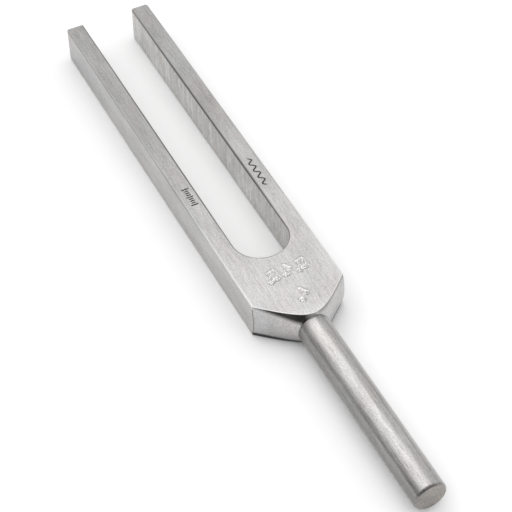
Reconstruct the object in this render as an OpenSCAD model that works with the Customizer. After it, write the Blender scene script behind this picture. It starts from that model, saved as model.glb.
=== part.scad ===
// Tuning fork for middle C, 256 Hz: two tines and a yoke cut from one flat
// aluminium bar, a round handle, and the threaded stud that joins them.
//
// Millimetres. The fork lies on its back: +X points to the tine tips, +Y to one
// side and +Z up out of the marked face. The origin is the middle of the bottom of
// the whole fork's bounding box.

/* [Fork] */
// Width over both tines
fork_w = 38; // [32:0.5:48]
// Thickness of the bar
fork_t = 16; // [14.5:0.5:20]
// Length from the handle to the tine tips
fork_l = 192; // [150:1:240]
// Gap between the tines, which sets their thickness and so the pitch
gap_w = 22.6; // [16:0.1:24]
// Solid length of the yoke, from the handle to the bottom of the gap
yoke_l = 33.2; // [30:0.2:45]
// Diameter of the flat land that the handle butts against
land_d = 14; // [13.8:0.1:14.4]
// Angle between the turned shoulders and the handle's axis
shoulder_angle = 45; // [38:1:50]
// Radius on the bar's four long outer edges
bar_edge_r = 0.6; // [0.4:0.1:1.4]
// Radius on the lower edge of each tine's tip
tip_lower_r = 2.6; // [0.5:0.1:5]
// Radius on the upper edge of each tine's tip
tip_upper_r = 0.6; // [0.2:0.1:5]

/* [Handle] */
// Diameter of the handle
handle_d = 13; // [11:0.1:13.5]
// Length of the handle
handle_l = 85; // [60:1:110]
// Chamfer round the handle's free end
end_chamfer = 0.8; // [0.3:0.1:2]
// Chamfer round the handle's other end, which leaves a fine groove at the joint
joint_chamfer = 0.3; // [0.1:0.05:0.5]

/* [Joining stud] */
// Thread diameter
thread_d = 6; // [5:1:6]
// Thread pitch
pitch = 1; // [0.8:0.1:1]
// Threads of the stud that are in the fork, and as many again in the handle
turns_per_side = 14; // [10:1:16]
// Play between the stud's thread and the tapped holes'
thread_play = 0.05; // [0.03:0.01:0.08]
// Width across the flats of the hexagon socket in the stud's handle end
socket_af = 3; // [2:0.5:3]
// Depth of that socket
socket_depth = 3.5; // [2:0.5:4]

/* [Hidden] */
$fn = 96;

// Laps a cutting tool past the face that it starts from
lap = 1;

// Places along X, and the height of the handle's axis
tip_x = (fork_l + handle_l) / 2;
joint_x = tip_x - fork_l;
handle_end_x = joint_x - handle_l;
gap_bottom_x = joint_x + yoke_l;
gap_round_x = gap_bottom_x + gap_w / 2;
axis_z = fork_t / 2;

// The thread's flanks stand at 60 degrees to each other. Its crests are flat for
// an eighth of the pitch and its roots for a quarter.
crest_flat = pitch / 8;
root_flat = pitch / 4;
flank_l = (pitch - crest_flat - root_flat) / 2;
thread_depth = flank_l / tan(30);
stud_crest_r = thread_d / 2 - thread_play;
stud_root_r = stud_crest_r - thread_depth;
hole_root_r = thread_d / 2;
hole_crest_r = hole_root_r - thread_depth + thread_play;

// Unthreaded depth past the stud's end, then the cone that a drill leaves
hole_spare_l = 3;
drill_point_l = hole_crest_r / tan(59);
mouth_chamfer = 0.4;
stud_chamfer = thread_depth;

// Turns a shape drawn along +Z to lie along +X (side = 1) or -X (side = -1),
// starting from the joint on the handle's axis.
module from_joint(side) {
    translate([joint_x, 0, axis_z])
        rotate([0, side * 90, 0])
            children();
}

// Outline of one side of a row of thread rings, as [radius, distance] points:
// out along a flank, along the crest and back in again.
function ring_row(root_r, crest_r, crest_half, root_half, count) = [
    for (i = [0 : count - 1], p = [[root_r, -root_half], [crest_r, -crest_half],
                                   [crest_r, crest_half], [root_r, root_half]])
        [p[0], (i + 0.5) * pitch + p[1]]
];

// One threaded half of the stud, from its middle to its chamfered end
module stud_half() {
    length = turns_per_side * pitch;
    difference() {
        rotate_extrude()
            polygon(concat(
                [[0, 0], [stud_root_r, 0]],
                ring_row(stud_root_r, stud_crest_r, crest_flat / 2,
                         crest_flat / 2 + flank_l, turns_per_side),
                [[stud_root_r, length], [0, length]]));
        rotate_extrude()
            polygon([[stud_crest_r + lap, length + lap],
                     [stud_root_r - lap, length + lap],
                     [stud_root_r, length],
                     [stud_crest_r + lap, length - stud_chamfer - lap]]);
    }
}

// The space that a tapped blind hole takes up, from its countersunk mouth to its
// drill point
module tapped_hole() {
    drill_l = (turns_per_side + 1) * pitch + hole_spare_l;
    crest_half = crest_flat / 2 + thread_play;
    root_half = crest_half + flank_l - thread_play;
    rotate_extrude()
        polygon(concat(
            [[0, 0], [hole_crest_r, 0]],
            ring_row(hole_crest_r, hole_root_r, crest_half, root_half,
                     turns_per_side + 1),
            [[hole_crest_r, drill_l], [0, drill_l + drill_point_l]]));
    translate([0, 0, -lap])
        cylinder(h = lap + mouth_chamfer, r1 = hole_root_r + mouth_chamfer + lap,
                 r2 = hole_root_r);
}

// Rounds a tip's edge: what lies outside a radius r on the edge at height z,
// where up is 1 on the upper edge and -1 on the lower one
module tip_edge_cutter(r, z, up) {
    difference() {
        translate([tip_x - r, -fork_w, up > 0 ? z - r : z - lap])
            cube([r + lap, 2 * fork_w, r + lap]);
        translate([tip_x - r, 0, z - up * r])
            rotate([90, 0, 0])
                cylinder(h = 4 * fork_w, r = r, center = true);
    }
}

// Rounds one of the bar's long edges: side is 1 or -1 across the bar, and up is 1
// or -1 for the upper or the lower face
module long_edge_cutter(side, up) {
    y = side * (fork_w / 2 - bar_edge_r);
    z = up > 0 ? fork_t - bar_edge_r : bar_edge_r;
    block = bar_edge_r + lap;
    difference() {
        translate([joint_x - lap, side > 0 ? y : y - block, up > 0 ? z : z - block])
            cube([fork_l + 2 * lap, block, block]);
        translate([joint_x - 2 * lap, y, z])
            rotate([0, 90, 0])
                cylinder(h = fork_l + 4 * lap, r = bar_edge_r);
    }
}

// The gap between the tines, with a half-round bottom
module tine_gap() {
    translate([gap_round_x, 0, -lap])
        cylinder(h = fork_t + 2 * lap, d = gap_w);
    translate([gap_round_x, -gap_w / 2, -lap])
        cube([fork_l, gap_w, fork_t + 2 * lap]);
}

// The cone that the shoulders are turned to. It is longer than the bar is wide,
// so it trims the yoke's corners and leaves the tines square.
module shoulder_cone() {
    reach = fork_l + lap;
    from_joint(1)
        cylinder(h = reach, r1 = land_d / 2,
                 r2 = land_d / 2 + reach * tan(shoulder_angle), $fn = 180);
}

module fork_body() {
    color("gainsboro")
        difference() {
            intersection() {
                translate([joint_x, -fork_w / 2, 0])
                    cube([fork_l, fork_w, fork_t]);
                shoulder_cone();
            }
            tine_gap();
            for (side = [-1, 1], up = [-1, 1])
                long_edge_cutter(side, up);
            tip_edge_cutter(tip_lower_r, 0, -1);
            tip_edge_cutter(tip_upper_r, fork_t, 1);
            from_joint(1)
                tapped_hole();
        }
}

module handle() {
    color("silver")
        difference() {
            from_joint(-1)
                rotate_extrude()
                    polygon([[0, 0],
                             [handle_d / 2 - joint_chamfer, 0],
                             [handle_d / 2, joint_chamfer],
                             [handle_d / 2, handle_l - end_chamfer],
                             [handle_d / 2 - end_chamfer, handle_l],
                             [0, handle_l]]);
            from_joint(-1)
                tapped_hole();
        }
}

module joining_stud() {
    socket_floor = turns_per_side * pitch - socket_depth;
    color("dimgray")
        difference() {
            union() {
                from_joint(1)
                    stud_half();
                from_joint(-1)
                    stud_half();
            }
            from_joint(-1)
                translate([0, 0, socket_floor])
                    cylinder(h = socket_depth + lap, d = socket_af / cos(30), $fn = 6);
        }
}

fork_body();
handle();
joining_stud();
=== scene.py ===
"""Looks of the tuning fork: a brushed aluminium fork on a round handle, lying on a pale floor.

Millimetres are used for sizes and turned into metres with MM where a mesh is made.
"""
import math

import bmesh
import bpy
import numpy as np
from mathutils import Matrix, Vector
from mathutils.geometry import delaunay_2d_cdt


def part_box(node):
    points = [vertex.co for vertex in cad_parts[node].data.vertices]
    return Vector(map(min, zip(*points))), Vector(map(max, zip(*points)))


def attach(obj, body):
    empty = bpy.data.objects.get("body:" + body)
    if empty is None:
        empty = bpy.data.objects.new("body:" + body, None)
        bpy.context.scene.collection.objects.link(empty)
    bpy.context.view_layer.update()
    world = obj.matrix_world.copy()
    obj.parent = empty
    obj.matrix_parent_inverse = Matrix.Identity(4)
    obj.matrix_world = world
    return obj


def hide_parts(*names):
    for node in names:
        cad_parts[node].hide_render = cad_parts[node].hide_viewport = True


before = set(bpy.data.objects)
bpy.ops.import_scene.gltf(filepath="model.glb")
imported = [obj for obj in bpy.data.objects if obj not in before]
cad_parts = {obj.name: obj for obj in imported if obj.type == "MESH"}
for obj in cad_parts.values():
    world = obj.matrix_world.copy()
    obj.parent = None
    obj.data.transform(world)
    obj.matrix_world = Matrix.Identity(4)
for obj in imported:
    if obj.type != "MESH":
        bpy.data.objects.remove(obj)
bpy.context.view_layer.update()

MM = 0.001

# ---------------------------------------------------------------- sizes from the frame, in mm


def node_points(name):
    """The vertices of a CAD node, in mm."""
    return np.array([v.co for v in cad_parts[name].data.vertices], float) / MM


def box_mm(name):
    """The lowest and highest corner of a CAD node, in mm."""
    low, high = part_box(name)
    return np.array(low) / MM, np.array(high) / MM


fork_low, fork_high = box_mm("fork_body")
handle_low, handle_high = box_mm("handle")
JOINT_X, TIP_X = fork_low[0], fork_high[0]
HALF_W = fork_high[1]
BOTTOM_Z, TOP_Z = fork_low[2], fork_high[2]
AXIS_Z = (BOTTOM_Z + TOP_Z) / 2
HALF_T = TOP_Z - AXIS_Z
HANDLE_R = handle_high[1]
HANDLE_END_X = handle_low[0]


def measure_fork():
    """The gap's half width, the middle of its round end, and the slope of the shoulder's cone."""
    points = node_points("fork_body")
    x, y, z = points.T
    radius = np.hypot(y, z - AXIS_Z)
    gap_half = np.abs(y[x > TIP_X - 1]).min()
    in_round = (np.abs(y) < gap_half - 0.1) & (radius > HANDLE_R) & (x > JOINT_X + HALF_W)
    round_x = np.median(x[in_round] + np.sqrt(gap_half**2 - y[in_round] ** 2))
    land = radius[x < JOINT_X + 0.001].max()
    cone = (radius > land + 0.01) & (x < JOINT_X + 0.6 * HALF_W)
    slope = np.median((radius[cone] - land) / (x[cone] - JOINT_X))
    return gap_half, round_x, slope


GAP_HALF, GAP_ROUND_X, CONE_SLOPE = measure_fork()

# Edge radii
OUTER_EDGE_R = 0.6
GAP_EDGE_R = 0.8
SHOULDER_EDGE_R = 0.25
TIP_LOWER_R = 2.6
TIP_UPPER_R = 0.6
# The tips' upright corners, from the outer one at -Y to the outer one at +Y
TIP_CORNER_R = (2.2, 1.3, 0.5, 1.1)
EDGE_SEGMENTS = 6

# The shoulder is finished by hand: its cone leans to -Y and runs down to the handle
SHOULDER_SHIFT = -0.5
SHOULDER_REACH = 7.5
SHOULDER_FOOT_R = HANDLE_R + 0.1

# The handle's chamfers. The one at its free end bulges by a part of its length.
END_CHAMFER = 0.8
END_BULGE = 0.12
JOINT_CHAMFER = 0.1
# A ring that divides its flat end, the rings along the rod, and small steps that keep its
# corners crisp
END_RING_R = 3.0
ROD_RINGS = 24
NUDGE = 0.01
STEP = 0.05

# The tapped holes: the thread is a row of rings, flat at the hole's crest and at its root,
# and the drill leaves a point at the bottom
THREAD_PITCH = 1.0
THREAD_TURNS = 15
THREAD_CREST_R = 2.51
THREAD_ROOT_R = 3.0
CREST_AT = 0.375
ROOT_AT = 0.1125
MOUTH_CHAMFER = 0.4
HOLE_DEPTH = 18.0
POINT_DEPTH = 19.5
POINT_R = 0.02

# ---------------------------------------------------------------- punched and etched marks


def arc(cx, cy, rx, ry, start, end, steps=14):
    """Points on part of an ellipse, from start to end degrees, anticlockwise from +right."""
    turn = np.radians(np.linspace(start, end, steps))
    return [(cx + rx * math.cos(a), cy + ry * math.sin(a)) for a in turn]


def note_head(x, y):
    """A small ellipse, which the tool's width fills."""
    return arc(x, y, 0.13, 0.09, 0, 360, 12)


# Plain musical notes as punched strokes, in a box 1 high and about 0.7 wide, centred, +up
# and +right: an eighth note with its flag, and a beamed pair
GLYPHS = {
    "eighth": [
        note_head(-0.16, -0.36),
        [(0.02, -0.34), (0.02, 0.5), (0.14, 0.3), (0.3, 0.14), (0.26, -0.06)],
    ],
    "pair": [
        note_head(-0.3, -0.4),
        note_head(0.2, -0.32),
        [(-0.12, -0.38), (-0.12, 0.4), (0.38, 0.48), (0.38, -0.3)],
    ],
}


def punched(glyph, along, across, height, turn):
    """A glyph's strokes on the top face. It reads with the tines up: up is +X, right is -Y."""
    c, s = math.cos(math.radians(turn)), math.sin(math.radians(turn))
    return [
        [(along + height * (c * v + s * u), across - height * (c * u - s * v)) for u, v in stroke]
        for stroke in GLYPHS[glyph]
    ]


def wave(along, across, length, height, cycles):
    """A sine wave along the tine, as one stroke."""
    t = np.linspace(0, 1, 20 * cycles + 1)
    swing = height / 2 * np.sin(2 * math.pi * cycles * t)
    return [[(along + length * v, across + s) for v, s in zip(t, swing)]]


def ticks(along, across, spacing, heights):
    """Short bars across the tine."""
    return [
        [(along + i * spacing, across - h / 2), (along + i * spacing, across + h / 2)]
        for i, h in enumerate(heights)
    ]


# The marks' places are distances from the joint and from the fork's axis, in mm. The notes
# are punched into the yoke.
NOTES_ROW = punched("pair", 23.0, 5.5, 5.5, 6) + punched("eighth", 23.7, -0.7, 5.5, -4)
NOTES_ROW += punched("pair", 23.8, -6.8, 5.3, 3)
SINGLE_NOTE = punched("eighth", 10.2, -0.6, 6.2, -2)
# Etched on the tines: a sine wave, and a plain scale
WAVE_MARK = wave(68.0, -14.8, 16.0, 2.0, 4)
TICK_MARK = ticks(70.8, 14.9, 1.15, [2.4, 1.3, 1.3, 1.3, 2.4, 1.3, 1.3, 1.3, 2.4])
# The tools: half the groove's width, its depth, the burr's height, and how unevenly it cuts
PUNCH = {"half": 0.68, "depth": 0.55, "burr": 0.12, "uneven": 0.9}
ETCH = {"half": 0.31, "depth": 0.12, "burr": 0.0, "uneven": 0.0}
# Where the top face is finely divided: a patch's low and high corner, its grid step, its
# strokes, and the tool that made them
PATCHES = [
    ((18.9, -11.4), (28.6, 9.4), 0.1, NOTES_ROW, PUNCH),
    ((5.9, -4.2), (15.3, 3.6), 0.1, SINGLE_NOTE, PUNCH),
    ((67.2, -16.4), (84.8, -13.2), 0.08, WAVE_MARK, ETCH),
    ((70.0, 13.3), (80.8, 16.5), 0.08, TICK_MARK, ETCH),
]
PATCH_RIM = 0.3
# The part of a groove's half width that its wall takes, how much its depth wanders where a
# tool is uneven, and the burr's half width
GROOVE_WALL = 0.75
DENT = 0.18
BURR_W = 0.25


def stroke_distance(x, y, strokes):
    """Distance from arrays of places to the nearest stroke."""
    nearest = np.full(x.shape, np.inf)
    for stroke in strokes:
        for a, b in zip(np.array(stroke[:-1]), np.array(stroke[1:])):
            ax, ay = b - a
            t = np.clip(((x - a[0]) * ax + (y - a[1]) * ay) / max(ax * ax + ay * ay, 1e-9), 0, 1)
            nearest = np.minimum(nearest, np.hypot(x - a[0] - t * ax, y - a[1] - t * ay))
    return nearest


def mark_height(x, y, nearest, tool):
    """Height of the marked surface over the flat face: a V groove with a raised lip.

    The groove's depth and the lip's height wander along the stroke, in short waves.
    """
    slope = np.clip(1 - nearest / tool["half"], 0, 1)
    groove = np.minimum(slope, GROOVE_WALL) / GROOVE_WALL
    ripple = np.sin(4.3 * x + 2.9 * y) * np.sin(3.7 * y - 2.2 * x)
    dents = 1 - tool["uneven"] * DENT * (1 + ripple)
    lip = np.exp(-(((nearest - tool["half"] - BURR_W) / BURR_W) ** 2))
    wander = 0.6 + 0.4 * np.sin(3.1 * x + 1.7 * y) * np.cos(2.3 * y - 0.9 * x)
    return tool["burr"] * lip * wander - tool["depth"] * groove * dents


# ---------------------------------------------------------------- mesh helpers


def new_object(name, bm, materials):
    """A smooth-shaded object from a bmesh in mm."""
    bmesh.ops.scale(bm, vec=(MM, MM, MM), verts=bm.verts)
    mesh = bpy.data.meshes.new(name)
    bm.to_mesh(mesh)
    bm.free()
    for material in materials:
        mesh.materials.append(material)
    mesh.shade_smooth()
    obj = bpy.data.objects.new(name, mesh)
    bpy.context.scene.collection.objects.link(obj)
    return obj


def apply_modifiers(obj):
    """Makes the modifiers' result the object's own mesh."""
    graph = bpy.context.evaluated_depsgraph_get()
    mesh = bpy.data.meshes.new_from_object(obj.evaluated_get(graph), depsgraph=graph)
    obj.modifiers.clear()
    obj.data = mesh
    return obj


def bridge(bm, ring_a, ring_b, material=0, closed=True):
    """Quads between two rows of as many vertices."""
    count = len(ring_a)
    for i in range(count if closed else count - 1):
        j = (i + 1) % count
        bm.faces.new([ring_a[i], ring_a[j], ring_b[j], ring_b[i]]).material_index = material


# ---------------------------------------------------------------- fork body

# The fork's surfaces, which are also the places of their materials in its material slots
FLAT, SIDE, CONE, EDGE, TIP, PUNCHED, ETCHED, GAP, GAP_EDGE = range(9)
# How finely the bar's outline is cut at the shoulder's cone, for a narrow side and for a broad
# face, and how finely the cone and the gap's round end are divided
SIDE_CUTS, FACE_CUTS = 16, 48
CONE_RINGS = 5
GAP_STEPS = 65
# Edges whose faces meet at less than this, in degrees, stay as they are
SHARP = 20
# Vertices closer to a plane than this lie on it, in mm
TOUCH = 1e-4


def section_angles():
    """Directions round the axis at which the shoulder cone is cut, corners of the bar included."""
    corner = math.atan2(HALF_T, HALF_W)
    side = np.linspace(-corner, corner, SIDE_CUTS + 1)[:-1]
    top = np.linspace(corner, math.pi - corner, FACE_CUTS + 1)[:-1]
    return np.concatenate([side, top, side + math.pi, top + math.pi])


def bar_point(angle):
    """Where a ray from the axis leaves the bar's rectangular section: (y, z over the axis)."""
    c, s = math.cos(angle), math.sin(angle)
    reach = min(HALF_W / max(abs(c), 1e-9), HALF_T / max(abs(s), 1e-9))
    return c * reach, s * reach


def tapped_hole_profile():
    """The tapped hole as (radius, depth), from its mouth to the drill's point."""
    crest, root = THREAD_CREST_R, THREAD_ROOT_R
    profile = [(root + MOUTH_CHAMFER, 0.0), (root, MOUTH_CHAMFER)]
    for i in range(THREAD_TURNS):
        middle = (i + 0.5) * THREAD_PITCH
        if i:
            profile += [(crest, middle - CREST_AT), (root, middle - ROOT_AT)]
        profile += [(root, middle + ROOT_AT), (crest, middle + CREST_AT)]
    return profile + [(crest, HOLE_DEPTH), (POINT_R, POINT_DEPTH)]


def round_axis(x, r, angle):
    """The point at radius r round the fork's axis."""
    return x, r * math.cos(angle), AXIS_Z + r * math.sin(angle)


def make_shoulder(bm, angles):
    """The turned cone, from the handle out to the bar's edges. Returns its two border rings."""
    rings = [[] for _ in range(CONE_RINGS)]
    for a in angles:
        y, z = bar_point(a)
        length = (math.hypot(y - SHOULDER_SHIFT, z) - SHOULDER_REACH) / CONE_SLOPE
        for step, ring in enumerate(rings):
            t = step / (len(rings) - 1)
            r = SHOULDER_FOOT_R + (math.hypot(y, z) - SHOULDER_FOOT_R) * t
            ring.append(bm.verts.new(round_axis(JOINT_X + length * t, r, a)))
    for inner, outer in zip(rings, rings[1:]):
        bridge(bm, outer, inner, CONE)
    return rings[0], rings[-1]


def make_hole(bm, angles, mouth):
    """The tapped hole, inwards from the shoulder's inner ring."""
    last = mouth
    for r, depth in tapped_hole_profile():
        ring = [bm.verts.new(round_axis(JOINT_X + depth, r, a)) for a in angles]
        bridge(bm, last, ring, CONE)
        last = ring
    bm.faces.new(last)


def make_level(bm, z, rim):
    """The bar's flat face at height z. Returns its row along the gap and its tips' corners."""
    gap = [
        bm.verts.new((GAP_ROUND_X - GAP_HALF * math.cos(a), GAP_HALF * math.sin(a), z))
        for a in np.linspace(-math.pi / 2, math.pi / 2, GAP_STEPS)
    ]
    tips = {
        (side, y): bm.verts.new((TIP_X, side * y, z))
        for side in (-1, 1)
        for y in (GAP_HALF, HALF_W)
    }
    row = [tips[-1, GAP_HALF], *gap, tips[1, GAP_HALF]]
    front = sorted((v for v in rim if abs(v.co.z - z) < TOUCH), key=lambda v: -v.co.y)
    loop = [*front, tips[-1, HALF_W], *row, tips[1, HALF_W]]
    bm.faces.new(loop if z == TOP_Z else loop[::-1]).material_index = FLAT
    return row, tips


def make_side(bm, side, rim, top, low):
    """The bar's outer side and the tine's end, for side 1 at +Y or -1 at -Y."""
    edge = sorted((v for v in rim if abs(v.co.y - side * HALF_W) < TOUCH), key=lambda v: v.co.z)
    loop = edge + [top[side, HALF_W], low[side, HALF_W]]
    bm.faces.new(loop[::-side]).material_index = SIDE
    corners = [top[side, GAP_HALF], top[side, HALF_W], low[side, HALF_W], low[side, GAP_HALF]]
    bm.faces.new(corners[::-side]).material_index = TIP


def fork_shell():
    """The fork with sharp edges."""
    bm = bmesh.new()
    angles = section_angles()
    mouth, rim = make_shoulder(bm, angles)
    make_hole(bm, angles, mouth)
    row_top, tips_top = make_level(bm, TOP_Z, rim)
    row_low, tips_low = make_level(bm, BOTTOM_Z, rim)
    bridge(bm, row_low, row_top, GAP, closed=False)
    for side in (-1, 1):
        make_side(bm, side, rim, tips_top, tips_low)
    bmesh.ops.recalc_face_normals(bm, faces=bm.faces)
    return bm


def edge_radius(edge):
    """The rounding that an edge of the sharp fork gets, or 0."""
    if len(edge.link_faces) != 2 or edge.calc_face_angle(0) < math.radians(SHARP):
        return 0
    kinds = {f.material_index for f in edge.link_faces}
    middle = (edge.verts[0].co + edge.verts[1].co) / 2
    if kinds == {FLAT, TIP}:
        return TIP_UPPER_R if middle.z > AXIS_Z else TIP_LOWER_R
    if TIP in kinds:
        corners = (-HALF_W, -GAP_HALF, GAP_HALF, HALF_W)
        return TIP_CORNER_R[int(np.argmin([abs(middle.y - y) for y in corners]))]
    if kinds == {FLAT, SIDE}:
        return OUTER_EDGE_R
    if kinds == {FLAT, GAP}:
        return GAP_EDGE_R
    return SHOULDER_EDGE_R if CONE in kinds and len(kinds) == 2 else 0


def round_edges(obj):
    """Rounds the edges by their bevel weights, which are parts of the largest radius."""
    bevel = obj.modifiers.new("edges", "BEVEL")
    bevel.width = TIP_LOWER_R * MM
    bevel.limit_method = "WEIGHT"
    bevel.segments = EDGE_SEGMENTS
    bevel.profile = 0.5
    bevel.use_clamp_overlap = False
    bevel.material = EDGE
    bevel.miter_outer = "MITER_ARC"
    return apply_modifiers(obj)


def marked_patch(bm, low, high, step, strokes, tool):
    """A finely divided, marked rectangle of the top face. Returns its border as a loop."""
    columns = round((high[0] - low[0]) / step) + 1
    rows = round((high[1] - low[1]) / step) + 1
    x, y = np.meshgrid(
        np.linspace(low[0], high[0], columns), np.linspace(low[1], high[1], rows), indexing="ij"
    )
    nearest = stroke_distance(x, y, strokes)
    rim = np.minimum.reduce([x - low[0], high[0] - x, y - low[1], high[1] - y])
    height = mark_height(x, y, nearest, tool) * np.clip(rim / PATCH_RIM, 0, 1)
    grid = [
        [bm.verts.new((JOINT_X + x[i, j], y[i, j], TOP_Z + height[i, j])) for j in range(rows)]
        for i in range(columns)
    ]
    marked = PUNCHED if tool is PUNCH else ETCHED
    for i in range(columns - 1):
        for j in range(rows - 1):
            corners = [grid[i][j], grid[i + 1][j], grid[i + 1][j + 1], grid[i][j + 1]]
            middle = nearest[i : i + 2, j : j + 2].mean()
            bm.faces.new(corners).material_index = marked if middle < tool["half"] else FLAT
    border = [grid[i][0] for i in range(columns - 1)]
    border += [grid[-1][j] for j in range(rows - 1)]
    border += [grid[i][-1] for i in range(columns - 1, 0, -1)]
    border += [grid[0][j] for j in range(rows - 1, 0, -1)]
    return border


def mark_top_face(bm):
    """Swaps the flat top face for one with the marked patches in it."""
    tops = [f for f in bm.faces if f.normal.z > 0.99 and f.calc_center_median().z > AXIS_Z]
    top = max(tops, key=lambda f: f.calc_area())
    outline = list(top.verts)
    bmesh.ops.delete(bm, geom=[top], context="FACES_ONLY")
    borders = [marked_patch(bm, *patch) for patch in PATCHES]
    verts = outline + [v for border in borders for v in border]
    edges, first = [], 0
    for loop in [outline, *borders]:
        edges += [(first + i, first + (i + 1) % len(loop)) for i in range(len(loop))]
        first += len(loop)
    flat = [Vector((v.co.x, v.co.y)) for v in verts]
    face = list(range(len(outline)))
    _, _, triangles, origins, _, faces = delaunay_2d_cdt(flat, edges, [face], 1, 1e-7, True)
    for triangle, inside in zip(triangles, faces):
        corners = [verts[origins[i][0]] for i in triangle]
        middle = sum((v.co for v in corners), Vector()) / 3
        on_patch = any(
            low[0] < middle.x - JOINT_X < high[0] and low[1] < middle.y < high[1]
            for low, high, *_ in PATCHES
        )
        if inside and not on_patch:
            bm.faces.new(corners).material_index = FLAT


def sort_edge_faces(bm):
    """Gives the rounded edges along the gap and down the yoke's corners their own material of
    painted shade.
    """
    gap_x = GAP_ROUND_X - GAP_HALF - 2 * GAP_EDGE_R
    for face in bm.faces:
        if face.material_index != EDGE:
            continue
        x, y, z = face.calc_center_median()
        by_gap = x > gap_x and abs(y) < GAP_HALF + 2 * GAP_EDGE_R
        upright = abs(z - AXIS_Z) < HALF_T - 2 * OUTER_EDGE_R
        at_corner = x < JOINT_X + HALF_W and abs(y) > HALF_W - 2 * OUTER_EDGE_R
        if by_gap or upright and at_corner:
            face.material_index = GAP_EDGE


def make_fork(materials):
    bm = fork_shell()
    radii = [edge_radius(e) for e in bm.edges]
    obj = new_object("fork", bm, materials)
    weights = obj.data.attributes.new("bevel_weight_edge", "FLOAT", "EDGE")
    weights.data.foreach_set("value", [r / TIP_LOWER_R for r in radii])
    round_edges(obj)
    bm = bmesh.new()
    bm.from_mesh(obj.data)
    bmesh.ops.scale(bm, vec=(1 / MM,) * 3, verts=bm.verts)
    bm.normal_update()
    sort_edge_faces(bm)
    mark_top_face(bm)
    bmesh.ops.recalc_face_normals(bm, faces=bm.faces)
    for face in bm.faces:
        face.smooth = True
    bmesh.ops.scale(bm, vec=(MM,) * 3, verts=bm.verts)
    bm.to_mesh(obj.data)
    bm.free()
    obj.modifiers.new("flat faces stay flat", "WEIGHTED_NORMAL").weight = 100
    return obj


# ---------------------------------------------------------------- handle and stud


def turned(name, profile, materials, end_x, segments=128):
    """A solid of revolution about the fork's axis from (x, radius) points, closed on the axis.

    What is below end_x gets the second material.
    """
    bm = bmesh.new()
    rings = []
    for x, r in profile:
        rings.append([
            bm.verts.new(round_axis(x, r, a))
            for a in np.linspace(0, 2 * math.pi, segments, endpoint=False)
        ])
    for a, b in zip(rings, rings[1:]):
        bridge(bm, a, b)
    bm.faces.new(rings[0])
    bm.faces.new(rings[-1])
    for face in bm.faces:
        face.material_index = int(face.calc_center_median().x < end_x)
    bmesh.ops.recalc_face_normals(bm, faces=bm.faces)
    return new_object(name, bm, materials)


def rounded_corner(start, end, bulge, steps=5):
    """Points from one (x, radius) to another that bow out by bulge of the way's length."""
    dx, dr = end[0] - start[0], end[1] - start[1]
    points = []
    for t in np.linspace(0, 1, steps):
        bow = bulge * 4 * t * (1 - t)
        points.append((start[0] + dx * t - dr * bow, start[1] + dr * t + dx * bow))
    return points


def make_handle(materials):
    end, face_r, joint_r = HANDLE_END_X, HANDLE_R - END_CHAMFER, HANDLE_R - JOINT_CHAMFER
    profile = [(end, STEP), (end, END_RING_R), (end, face_r)]
    profile += rounded_corner(
        (end + 2 * NUDGE, face_r + STEP), (end + END_CHAMFER, HANDLE_R - NUDGE), END_BULGE
    )
    rod = np.linspace(end + END_CHAMFER + 2 * STEP, JOINT_X - JOINT_CHAMFER - STEP, ROD_RINGS)
    profile += [(x, HANDLE_R) for x in rod]
    profile += [(JOINT_X - JOINT_CHAMFER, HANDLE_R - NUDGE), (JOINT_X - 2 * NUDGE, joint_r)]
    profile += [(JOINT_X, joint_r - STEP)]
    profile += [(JOINT_X - depth, r) for r, depth in tapped_hole_profile()]
    return turned("handle_rod", profile, materials, end + NUDGE)


# ---------------------------------------------------------------- materials


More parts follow.
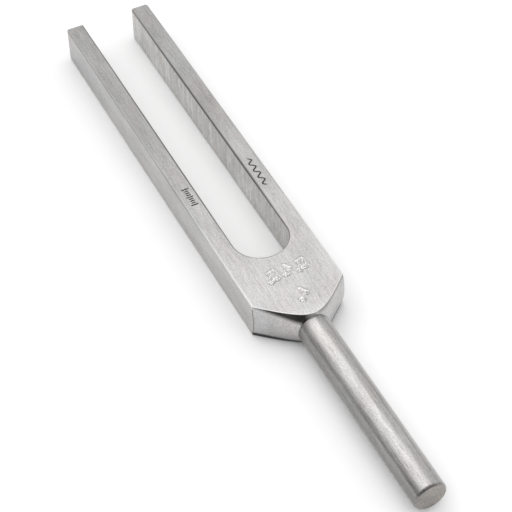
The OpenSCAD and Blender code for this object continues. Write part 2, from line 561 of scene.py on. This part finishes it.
class Nodes:
    """Short calls for building a material's node tree."""

    def __init__(self, name):
        self.material = bpy.data.materials.new(name)
        self.material.use_nodes = True
        self.tree = self.material.node_tree
        self.shader = self.tree.nodes["Principled BSDF"]

    def add(self, kind, inputs=(), **values):
        node = self.tree.nodes.new(kind)
        for key, value in values.items():
            setattr(node, key, value)
        for key, value in dict(inputs).items():
            if isinstance(value, bpy.types.NodeSocket):
                self.tree.links.new(value, node.inputs[key])
            else:
                node.inputs[key].default_value = value
        return node

    def noise(self, counts, turn=(0, 0, 0), detail=3.0, rough=0.55):
        """Noise with so many blotches per metre along x, y and z, of the turned object."""
        coords = self.add("ShaderNodeTexCoord").outputs["Object"]
        values = {"Vector": coords, "Scale": counts, "Rotation": turn}
        place = self.add("ShaderNodeMapping", values).outputs["Vector"]
        values = {"Vector": place, "Scale": 1.0, "Detail": detail, "Roughness": rough}
        return self.add("ShaderNodeTexNoise", values).outputs["Fac"]

    def remap(self, value, low, high, start=0.3, end=0.7):
        """Goes from low to high as the value goes from start to end."""
        values = {"Value": value, "From Min": start, "From Max": end, "To Min": low, "To Max": high}
        return self.add("ShaderNodeMapRange", values).outputs["Result"]

    def ramp(self, weights, start, end, low, high):
        """Goes from low to high as the place's weighted sum goes from start to end, in mm."""
        coords = self.add("ShaderNodeTexCoord").outputs["Object"]
        node = self.add("ShaderNodeVectorMath", {0: coords, 1: weights}, operation="DOT_PRODUCT")
        return self.remap(node.outputs["Value"], low, high, start * MM, end * MM)

    def tinted(self, colour, amount, tint):
        """The colour, times the tint where amount is 1."""
        mix = self.add("ShaderNodeMix", data_type="RGBA", blend_type="MULTIPLY")
        self.tree.links.new(amount, mix.inputs["Factor"])
        self.tree.links.new(colour, mix.inputs[6])
        mix.inputs[7].default_value = (*tint, 1)
        return mix.outputs[2]

    def scaled(self, tone, gain):
        """The colour tone times gain."""
        node = self.add("ShaderNodeVectorMath", {0: tone}, operation="SCALE")
        self.tree.links.new(gain, node.inputs["Scale"])
        return node.outputs["Vector"]

    def math(self, operation, a, b):
        return self.add("ShaderNodeMath", {0: a, 1: b}, operation=operation).outputs[0]

    def to_shader(self, **links):
        for key, value in links.items():
            socket = self.shader.inputs[key.replace("_", " ")]
            if isinstance(value, bpy.types.NodeSocket):
                self.tree.links.new(value, socket)
            else:
                socket.default_value = value


X, Y, Z = (1, 0, 0), (0, 1, 0), (0, 0, 1)
# Counts per metre, along x, y and z, of the finish's fine specks, of its soft clouds, and of
# the places where its colour wanders from neutral to warm
SPECKS = (2200, 2200, 2200)
CLOUDS = (45, 90, 90)
HUES = (60, 150, 150)
HUES_TURN = (0.3, 0.5, 0.7)
WARM = (1.0, 0.965, 0.94)
# How much finer the sharp streaks are than the broad ones, and their share of the two
FINER = 6
FINE_SHARE = 0.65
BUMP_HEIGHT = 0.0001


def faded(n, gain, fades):
    """The gain, times each fade's factor where all of that fade's ramps have risen."""
    for factor, first, *others in fades:
        amount = n.ramp(*first, 0.0, 1 - factor)
        for other in others:
            amount = n.math("MULTIPLY", amount, n.ramp(*other, 0.0, 1.0))
        gain = n.math("MULTIPLY", gain, n.math("SUBTRACT", 1.0, amount))
    return gain


def brushed(
    name, tone, grain, turn=(0, 0, 0), rough=(0.3, 0.42), bump=0.5,
    streak=0.2, speck=0.3, cloud=0.07, fades=(),
):
    """Metal with streaks: grain is the streaks' count per metre along x, y and z.

    streak, speck and cloud are how far the tone strays along the streaks, in fine specks
    and in soft clouds. fades are (factor, ramp, ...): the tone is multiplied by factor
    where all the ramps have risen. A ramp is (weights, from, to) in mm, and a place on it
    is the weighted sum of x, y and z.
    """
    n = Nodes(name)
    lines = n.noise(grain, turn, 5.0, 0.7)
    broad = n.noise([g / FINER for g in grain], turn)
    clouds = n.noise(CLOUDS)
    specks = n.noise(SPECKS, detail=2.0, rough=0.7)
    hues = n.noise(HUES, HUES_TURN, 2.0)
    streaks = n.math(
        "ADD", n.math("MULTIPLY", lines, FINE_SHARE), n.math("MULTIPLY", broad, 1 - FINE_SHARE)
    )
    gain = n.remap(streaks, 1 - streak, 1 + streak, 0.35, 0.65)
    gain = n.math("ADD", gain, n.remap(clouds, -cloud, cloud))
    gain = n.math("ADD", gain, n.remap(specks, -speck, speck, 0.25, 0.75))
    gain = faded(n, gain, fades)
    values = {"Height": streaks, "Strength": bump, "Distance": BUMP_HEIGHT}
    n.to_shader(
        Base_Color=n.tinted(n.scaled(tone, gain), n.remap(hues, 0.0, 1.0), WARM),
        Metallic=1.0,
        Roughness=n.remap(streaks, *rough),
        Normal=n.add("ShaderNodeBump", values).outputs["Normal"],
    )
    return n.material


# Streaks along the bar and its edges, and the even grain of the marks
BAR_GRAIN = (140, 1300, 1300)
EDGE_GRAIN = (120, 900, 900)
MARK_GRAIN = (900, 900, 900)

FACE_TONE = (0.46, 0.46, 0.46)
SIDE_TONE = (0.49, 0.49, 0.492)
# The rounded edges are worn, and their bright tone is partly a painted glint
EDGE_WORN_AND_GLINT_TONE = (0.69, 0.69, 0.69)
# The punched marks are fresh-cut metal, and their bright tone is partly a painted highlight
PUNCHED_FRESH_AND_GLINT_TONE = (0.9, 0.9, 0.895)
ETCHED_TONE = (0.06, 0.06, 0.062)
SAWN_TONE = (0.495, 0.495, 0.488)
ROD_TONE = (0.425, 0.423, 0.42)
END_TONE = (0.342, 0.325, 0.31)
STEEL_TONE = (0.33, 0.33, 0.34)

# Painted shade and highlight on the top face: it darkens along the tines, towards the +Y side
# and at the tips, and lightens towards the handle. It is also darker in a band across the tines
FACE_PAINTED_LIGHT = [
    (0.79, (X, JOINT_X + 25, JOINT_X + 110)),
    (0.94, (Y, 9, 12), (X, JOINT_X + 25, JOINT_X + 60)),
    (0.98, (X, TIP_X - 10, TIP_X - 1)),
    (1.12, (X, JOINT_X + 5, JOINT_X + 1)),
    (0.94, (X, JOINT_X + 104, JOINT_X + 120), (X, JOINT_X + 160, JOINT_X + 144)),
]
# Painted shade on the outer sides towards the tips
SIDE_PAINTED_SHADE = [(0.82, (X, TIP_X - 26, TIP_X - 3))]
# Painted highlight on the gap's walls along the tines, and painted shade towards the tips
GAP_PAINTED_LIGHT = [(1.09, (X, TIP_X - 90, TIP_X - 50)), (0.88, (X, TIP_X - 26, TIP_X - 3))]
# Painted shade on the shoulder: dark along its foot, in a wedge under the top face on the +Y
# side, and in a line along the top face on the other. LEAN rises up the shoulder and towards
# the handle.
LEAN = (-0.26, 0, 1)
LEAN_0 = LEAN[0] * JOINT_X
SHOULDER_PAINTED_SHADE = [
    (0.05, (Z, 3.0, 1.8)),
    (0.09, (LEAN, LEAN_0 + 11.8, LEAN_0 + 13.2), (Y, 0.8, 3.4)),
    (0.5, (Z, TOP_Z - 1.8, TOP_Z - 0.4), (Y, -1, -3)),
]
# Painted highlight and shade on the rounded edges: they shine on the yoke and dull along the
# tines, and are dark low down by the shoulder
EDGE_PAINTED_LIGHT = [
    (0.62, (X, JOINT_X + 30, JOINT_X + 75)),
    (0.1, (Z, 2.2, 1.2), (X, JOINT_X + 15, JOINT_X + 13)),
]
# Painted shade on the edges along the gap and down the yoke's corners, darkest along the tines and
# at the yoke, and a painted highlight towards the tips
GAP_EDGE_PAINTED_LIGHT = [
    (0.46, (X, JOINT_X + 36, JOINT_X + 70)),
    (1.4, (X, TIP_X - 50, TIP_X - 5)),
    (0.45, (X, JOINT_X + 20, JOINT_X + 15)),
]
# Painted shade in the punched marks: darker at the bottom of their grooves
PUNCHED_PAINTED_SHADE = [(0.48, (Z, TOP_Z - 0.22, TOP_Z - 0.48))]
# Painted shade on the handle: darker down its +Y side, a little down its -Y side, and round the
# edge of its free end
ROD_PAINTED_SHADE = [
    (0.62, (Y, 4.4, 6.4)),
    (0.93, (Y, -2, -4)),
    (0.36, (X, HANDLE_END_X + 1.1, HANDLE_END_X + 0.7), (Y, 6.2, 4), (Y, -6.5, 1)),
]
# Painted shade along the bottom of the handle's flat end
END_PAINTED_SHADE = [(0.55, (Z, 3.3, 2.5))]


def fork_materials():
    """The fork's materials, in the order of its surfaces from FLAT to GAP_EDGE."""
    return [
        brushed("brushed_face", FACE_TONE, BAR_GRAIN, rough=(0.28, 0.44), fades=FACE_PAINTED_LIGHT),
        brushed("brushed_side", SIDE_TONE, BAR_GRAIN, rough=(0.28, 0.42), fades=SIDE_PAINTED_SHADE),
        brushed(
            "turned_shoulder", SIDE_TONE, (1500, 300, 300), rough=(0.24, 0.34), bump=0.2,
            streak=0.1, fades=SHOULDER_PAINTED_SHADE,
        ),
        # Worn rounded edges with a painted glint on the yoke and painted shade along the tines and
        # by the shoulder
        brushed(
            "worn_edge_painted_light", EDGE_WORN_AND_GLINT_TONE, EDGE_GRAIN, rough=(0.36, 0.46), streak=0.05, speck=0.1,
            fades=EDGE_PAINTED_LIGHT,
        ),
        brushed("tip_face", SIDE_TONE, (900, 900, 200), rough=(0.35, 0.45)),
        brushed(
            "punched_metal", PUNCHED_FRESH_AND_GLINT_TONE, MARK_GRAIN, rough=(0.18, 0.3), streak=0.1, speck=0.1,
            fades=PUNCHED_PAINTED_SHADE,
        ),
        brushed("etched_metal", ETCHED_TONE, MARK_GRAIN, rough=(0.45, 0.6), bump=0.2),
        brushed(
            "sawn_gap", SAWN_TONE, (2500, 2500, 220), turn=(0, math.radians(35), 0),
            rough=(0.24, 0.42), bump=0.7, streak=0.44, speck=0.4, fades=GAP_PAINTED_LIGHT,
        ),
        brushed(
            "gap_edge", SIDE_TONE, EDGE_GRAIN, rough=(0.3, 0.4), streak=0.05, speck=0.1,
            fades=GAP_EDGE_PAINTED_LIGHT,
        ),
    ]


def handle_materials():
    """The handle's materials: its round side, then its flat end."""
    return [
        brushed(
            "brushed_rod", ROD_TONE, (110, 1400, 1400), rough=(0.24, 0.38), streak=0.26,
            fades=ROD_PAINTED_SHADE,
        ),
        brushed(
            "sawn_end", END_TONE, (300, 1500, 700), rough=(0.36, 0.48), streak=0.24, cloud=0.12,
            fades=END_PAINTED_SHADE,
        ),
    ]


# ---------------------------------------------------------------- build the object

fork = make_fork(fork_materials())
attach(fork, "root")
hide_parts("fork_body")

handle = make_handle(handle_materials())
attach(handle, "root")
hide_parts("handle")

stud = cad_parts["joining_stud"]
steel = brushed("machined_steel", STEEL_TONE, (2000, 300, 300), rough=(0.3, 0.45))
for material_slot in stud.material_slots:
    material_slot.material = steel

# ---------------------------------------------------------------- stage


FLOOR_COLOUR = (0.95, 0.95, 0.95, 1)
FLOOR_HALF = 4000
# The floor lies this far below the object
FLOOR_DROP = 0.02

# Lights: azimuth and elevation, width and height as seen from the object, all in degrees,
# and radiance
KEY_LIGHT = (18, 62, 60, 34, 0.8)
FILL_LIGHT = (-90, 20, 80, 26, 0.4)
LIGHT_DISTANCE = 1.6
# The sky's brightness at the horizon and overhead
SKY_LOW, SKY_HIGH = 0.3, 1.3

# The camera: where it stands seen from the object, in degrees, how far off, and what it
# looks at, in mm. Its azimuth turns from -Y towards the tips.
CAMERA_AZIMUTH, CAMERA_ELEVATION, CAMERA_ROLL = -115.75, 47.38, -1.24
CAMERA_DISTANCE = 659.8
CAMERA_TARGET = (-11.4, 2.8, AXIS_Z)
CAMERA_LENS, CAMERA_SENSOR = 120.57, 36


def floor_material():
    n = Nodes("pale_floor")
    n.to_shader(Base_Color=FLOOR_COLOUR, Roughness=0.9, Specular_IOR_Level=0.1)
    return n.material


def make_floor():
    bm = bmesh.new()
    bmesh.ops.create_grid(bm, x_segments=1, y_segments=1, size=FLOOR_HALF)
    floor = new_object("floor", bm, [floor_material()])
    floor.location.z = (BOTTOM_Z - FLOOR_DROP) * MM


def direction(azimuth, elevation):
    """A unit vector: azimuth turns from the tips (+X) towards +Y, in degrees."""
    a, e = math.radians(azimuth), math.radians(elevation)
    return Vector((math.cos(a) * math.cos(e), math.sin(a) * math.cos(e), math.sin(e)))


def facing(obj, way):
    obj.rotation_mode = "QUATERNION"
    obj.rotation_quaternion = way.to_track_quat("-Z", "Y")


def make_softbox(name, azimuth, elevation, width, height, radiance):
    """A rectangular light that faces the object, sized by the angle it fills, in degrees."""
    data = bpy.data.lights.new(name, "AREA")
    data.shape = "RECTANGLE"
    data.size = 2 * LIGHT_DISTANCE * math.tan(math.radians(width / 2))
    data.size_y = 2 * LIGHT_DISTANCE * math.tan(math.radians(height / 2))
    data.energy = radiance * math.pi * data.size * data.size_y
    lamp = bpy.data.objects.new(name, data)
    lamp.location = direction(azimuth, elevation) * LIGHT_DISTANCE
    lamp.visible_camera = False
    facing(lamp, -direction(azimuth, elevation))
    bpy.context.scene.collection.objects.link(lamp)


def make_world():
    """A sky that brightens smoothly from the horizon upwards."""
    world = bpy.data.worlds.new("soft_studio")
    bpy.context.scene.world = world
    world.use_nodes = True
    tree = world.node_tree
    background = tree.nodes["Background"]
    coords = tree.nodes.new("ShaderNodeTexCoord")
    split = tree.nodes.new("ShaderNodeSeparateXYZ")
    ramp = tree.nodes.new("ShaderNodeMapRange")
    tree.links.new(coords.outputs["Generated"], split.inputs[0])
    tree.links.new(split.outputs["Z"], ramp.inputs["Value"])
    ramp.inputs["From Min"].default_value = 0.0
    ramp.inputs["From Max"].default_value = 1.0
    ramp.inputs["To Min"].default_value = SKY_LOW
    ramp.inputs["To Max"].default_value = SKY_HIGH
    ramp.interpolation_type = "SMOOTHSTEP"
    tree.links.new(ramp.outputs["Result"], background.inputs["Color"])
    background.inputs["Strength"].default_value = 1.0


def make_camera():
    a, e = math.radians(CAMERA_AZIMUTH), math.radians(CAMERA_ELEVATION)
    back = Vector((math.sin(a) * math.cos(e), -math.cos(a) * math.cos(e), math.sin(e)))
    data = bpy.data.cameras.new("camera")
    data.sensor_width = CAMERA_SENSOR
    data.lens = CAMERA_LENS
    data.clip_start, data.clip_end = 0.01, 20
    camera = bpy.data.objects.new("camera", data)
    camera.rotation_mode = "QUATERNION"
    camera.location = (Vector(CAMERA_TARGET) + back * CAMERA_DISTANCE) * MM
    roll = Matrix.Rotation(math.radians(CAMERA_ROLL), 3, "Z")
    turn = (-back).to_track_quat("-Z", "Y").to_matrix() @ roll
    camera.rotation_quaternion = turn.to_quaternion()
    bpy.context.scene.collection.objects.link(camera)
    bpy.context.scene.camera = camera


make_floor()
make_world()
make_softbox("key", *KEY_LIGHT)
make_softbox("fill", *FILL_LIGHT)
make_camera()
bpy.context.scene.view_settings.view_transform = "Standard"
